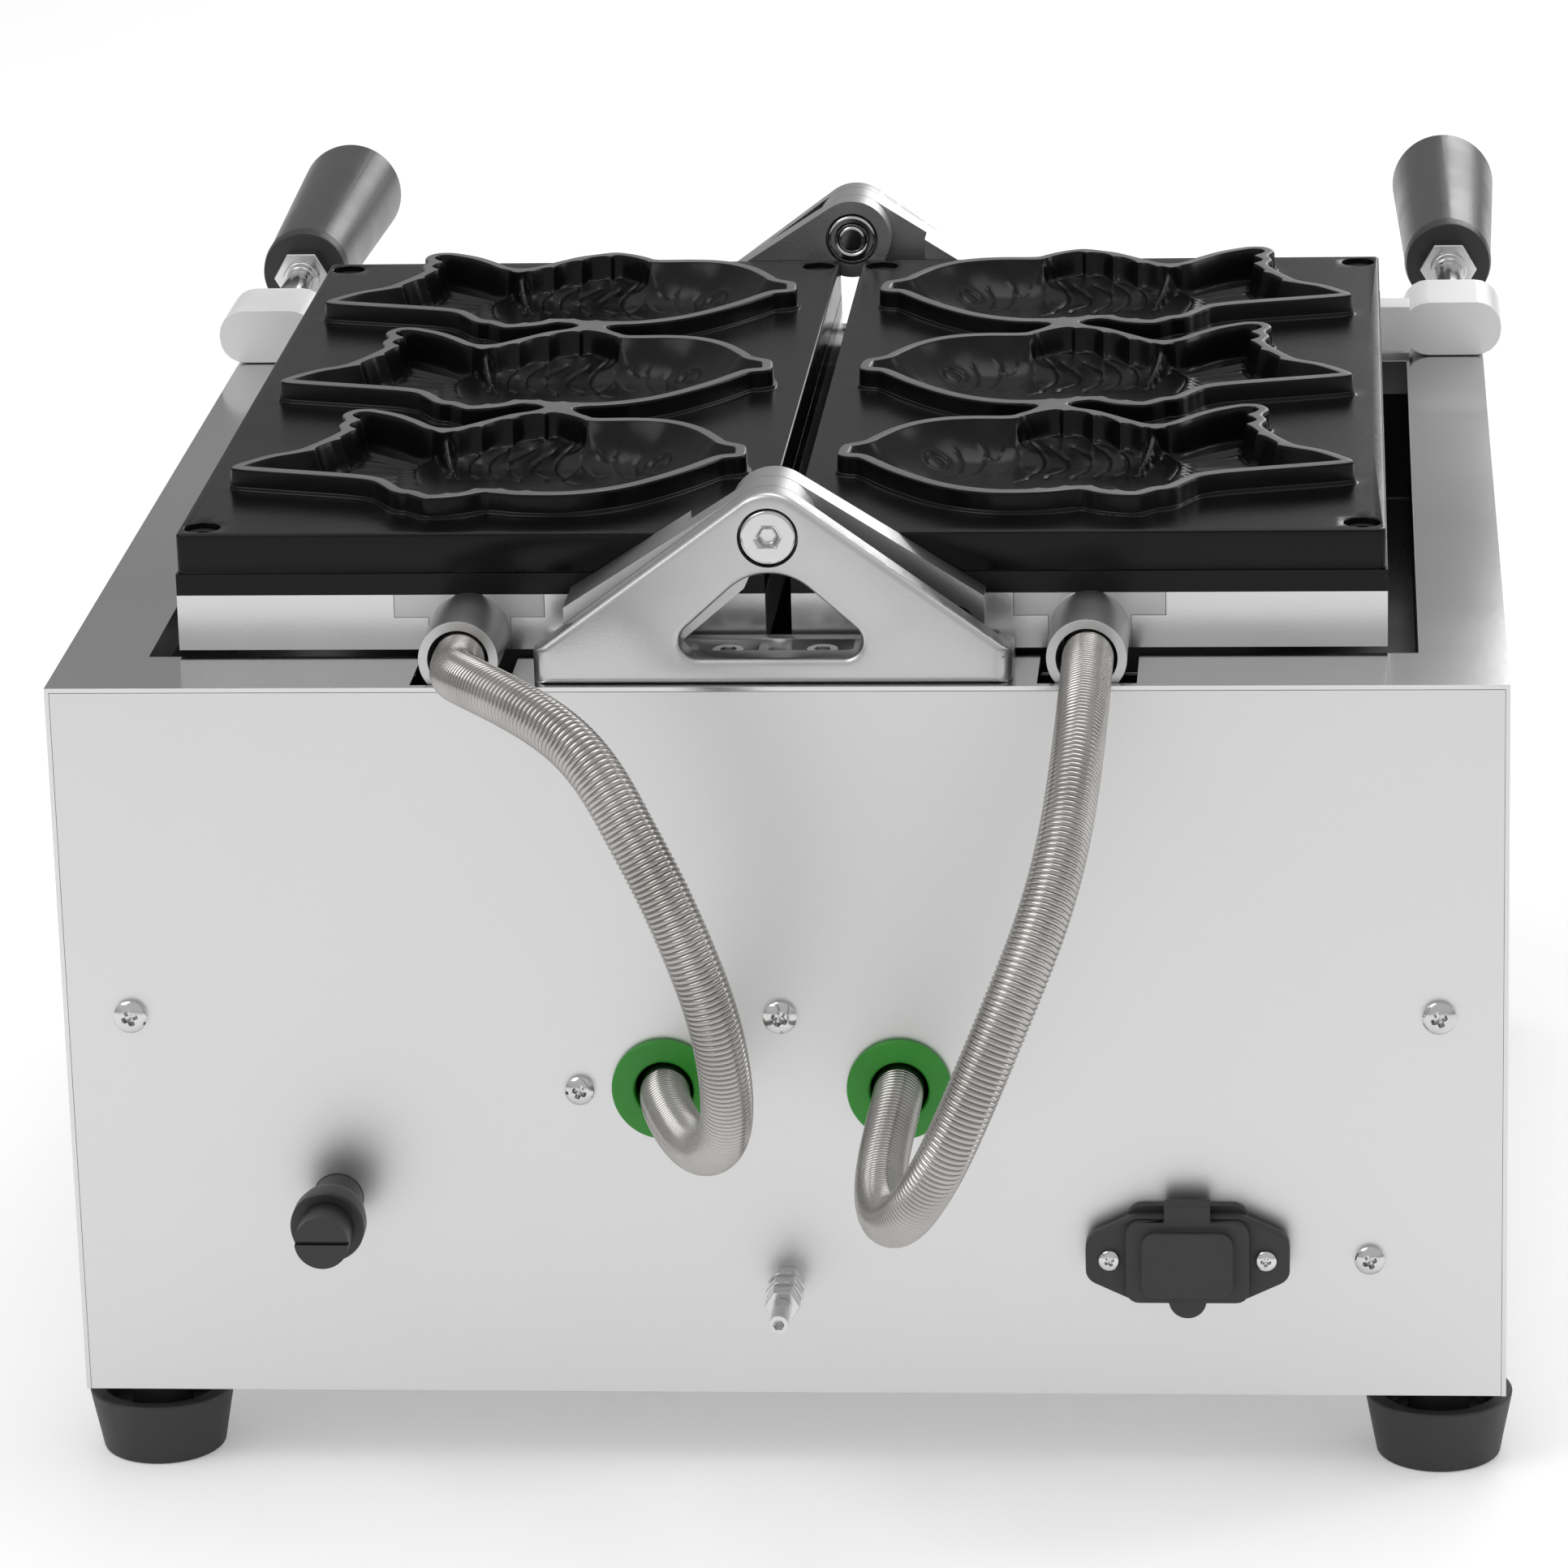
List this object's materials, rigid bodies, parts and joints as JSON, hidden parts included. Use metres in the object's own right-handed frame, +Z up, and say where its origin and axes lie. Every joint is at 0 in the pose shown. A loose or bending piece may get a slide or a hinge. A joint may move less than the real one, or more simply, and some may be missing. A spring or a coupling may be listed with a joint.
{
  "type": "fish waffle baker",
  "caption": "Countertop waffle baker whose two folding pans hold fish-shaped cavities over a drip well in a stainless housing.",
  "frame": {"origin": "on the table under the middle of the machine, below the centre of its footprint with the handles", "axes": "+Z up; +Y from the rear panel with the hoses towards the operator and the handles; +X to the right pan seen from the rear"},
  "size_m": [0.384, 0.629, 0.2637],
  "materials": {
    "stainless_sheet": "brushed",
    "black_enamel": "gloss enamel",
    "black_rubber": "matte",
    "polished_steel": "polished",
    "cast_bracket": "satin, cast",
    "green_rubber": "satin",
    "hose_steel": "ribbed",
    "black_plastic": "satin",
    "fuse_glass": "clear, with plated ends",
    "control_metal": "plated",
    "red_plastic": "gloss",
    "lamp_plastic": "translucent lens",
    "block_plastic": "satin",
    "coated_plate": "non-stick coating",
    "element_sheath": "heat-darkened",
    "painted_shell": "fine satin silver",
    "painted_lug": "fine satin silver",
    "black_screws": "black oxide",
    "grip_plastic": "satin gloss"
  },
  "bodies": {
    "base": {"housing": "stainless_sheet", "rear_panel": "stainless_sheet", "front_panel": "stainless_sheet", "bottom_plate": "stainless_sheet", "well_tray": "black_enamel", "rubber_feet": "black_rubber", "foot_screws": "polished_steel", "rear_bracket": "cast_bracket", "front_bracket": "cast_bracket", "bracket_screws": "polished_steel", "rear_pivot_bolt": "polished_steel", "front_pivot_bolt": "polished_steel", "hose_grommets": "green_rubber", "left_hose": "hose_steel", "right_hose": "hose_steel", "panel_screws": "polished_steel", "fuse_holder": "black_plastic", "inlet_gasket": "black_rubber", "inlet_socket": "black_plastic", "inlet_frame": "black_rubber", "inlet_screws": "polished_steel", "ground_stud": "polished_steel", "ground_nuts": "polished_steel", "thermostat": "control_metal", "timer": "control_metal", "switch_body": "black_plastic", "indicator_lamps": "lamp_plastic", "terminal_block": "block_plastic"},
    "left_pan": {"left_mould_plate": "coated_plate", "left_heater_plate": "coated_plate", "left_heating_element": "element_sheath", "left_base_shell": "painted_shell", "left_hose_boss": "polished_steel", "left_rear_arm": "cast_bracket", "left_front_arm": "cast_bracket", "left_socket_screws": "black_screws", "left_handle_lug": "painted_lug", "left_handle_stud": "polished_steel", "left_handle_nut": "polished_steel", "left_handle_ferrule": "black_plastic", "left_handle_grip": "grip_plastic"},
    "right_pan": {"right_mould_plate": "coated_plate", "right_heater_plate": "coated_plate", "right_heating_element": "element_sheath", "right_base_shell": "painted_shell", "right_hose_boss": "polished_steel", "right_rear_arm": "cast_bracket", "right_front_arm": "cast_bracket", "right_socket_screws": "black_screws", "right_handle_lug": "painted_lug", "right_handle_stud": "polished_steel", "right_handle_nut": "polished_steel", "right_handle_ferrule": "black_plastic", "right_handle_grip": "grip_plastic"},
    "fuse_cap": {"fuse_cap": "black_plastic", "glass_fuse": "fuse_glass"},
    "inlet_flap": {"inlet_flap": "black_rubber"},
    "thermostat_knob": {"thermostat_knob": "black_plastic"},
    "timer_knob": {"timer_knob": "black_plastic"},
    "switch_rocker": {"switch_rocker": "red_plastic"}
  },
  "joints": [
    {"name": "left_pan_fold", "type": "hinge", "parent": "base", "child": "left_pan", "pos_m": [0, -0.06915, 0.25225], "axis": [0, 1, 0], "range_deg": [0, 180], "deforming": ["left_hose"]},
    {"name": "right_pan_fold", "type": "hinge", "parent": "base", "child": "right_pan", "pos_m": [0, -0.06915, 0.25225], "axis": [0, -1, 0], "range_deg": [0, 180], "deforming": ["right_hose"]},
    {"name": "fuse_cap_turn", "type": "hinge", "parent": "base", "child": "fuse_cap", "pos_m": [-0.116, -0.26915, 0.076], "axis": [0, 1, 0], "range_deg": [0, 90]},
    {"name": "inlet_flap_lift", "type": "hinge", "parent": "base", "child": "inlet_flap", "pos_m": [0.1035, -0.24865, 0.076], "axis": [-1, 0, 0], "range_deg": [0, 90]},
    {"name": "thermostat_turn", "type": "hinge", "parent": "base", "child": "thermostat_knob", "pos_m": [0.095, 0.11085, 0.114], "axis": [0, -1, 0], "range_deg": [0, 270]},
    {"name": "timer_turn", "type": "hinge", "parent": "base", "child": "timer_knob", "pos_m": [-0.095, 0.11085, 0.114], "axis": [0, -1, 0], "range_deg": [0, 300]},
    {"name": "switch_rock", "type": "hinge", "parent": "base", "child": "switch_rocker", "pos_m": [0, 0.09485, 0.114], "axis": [-1, 0, 0], "range_deg": [0, 18]}
  ]
}
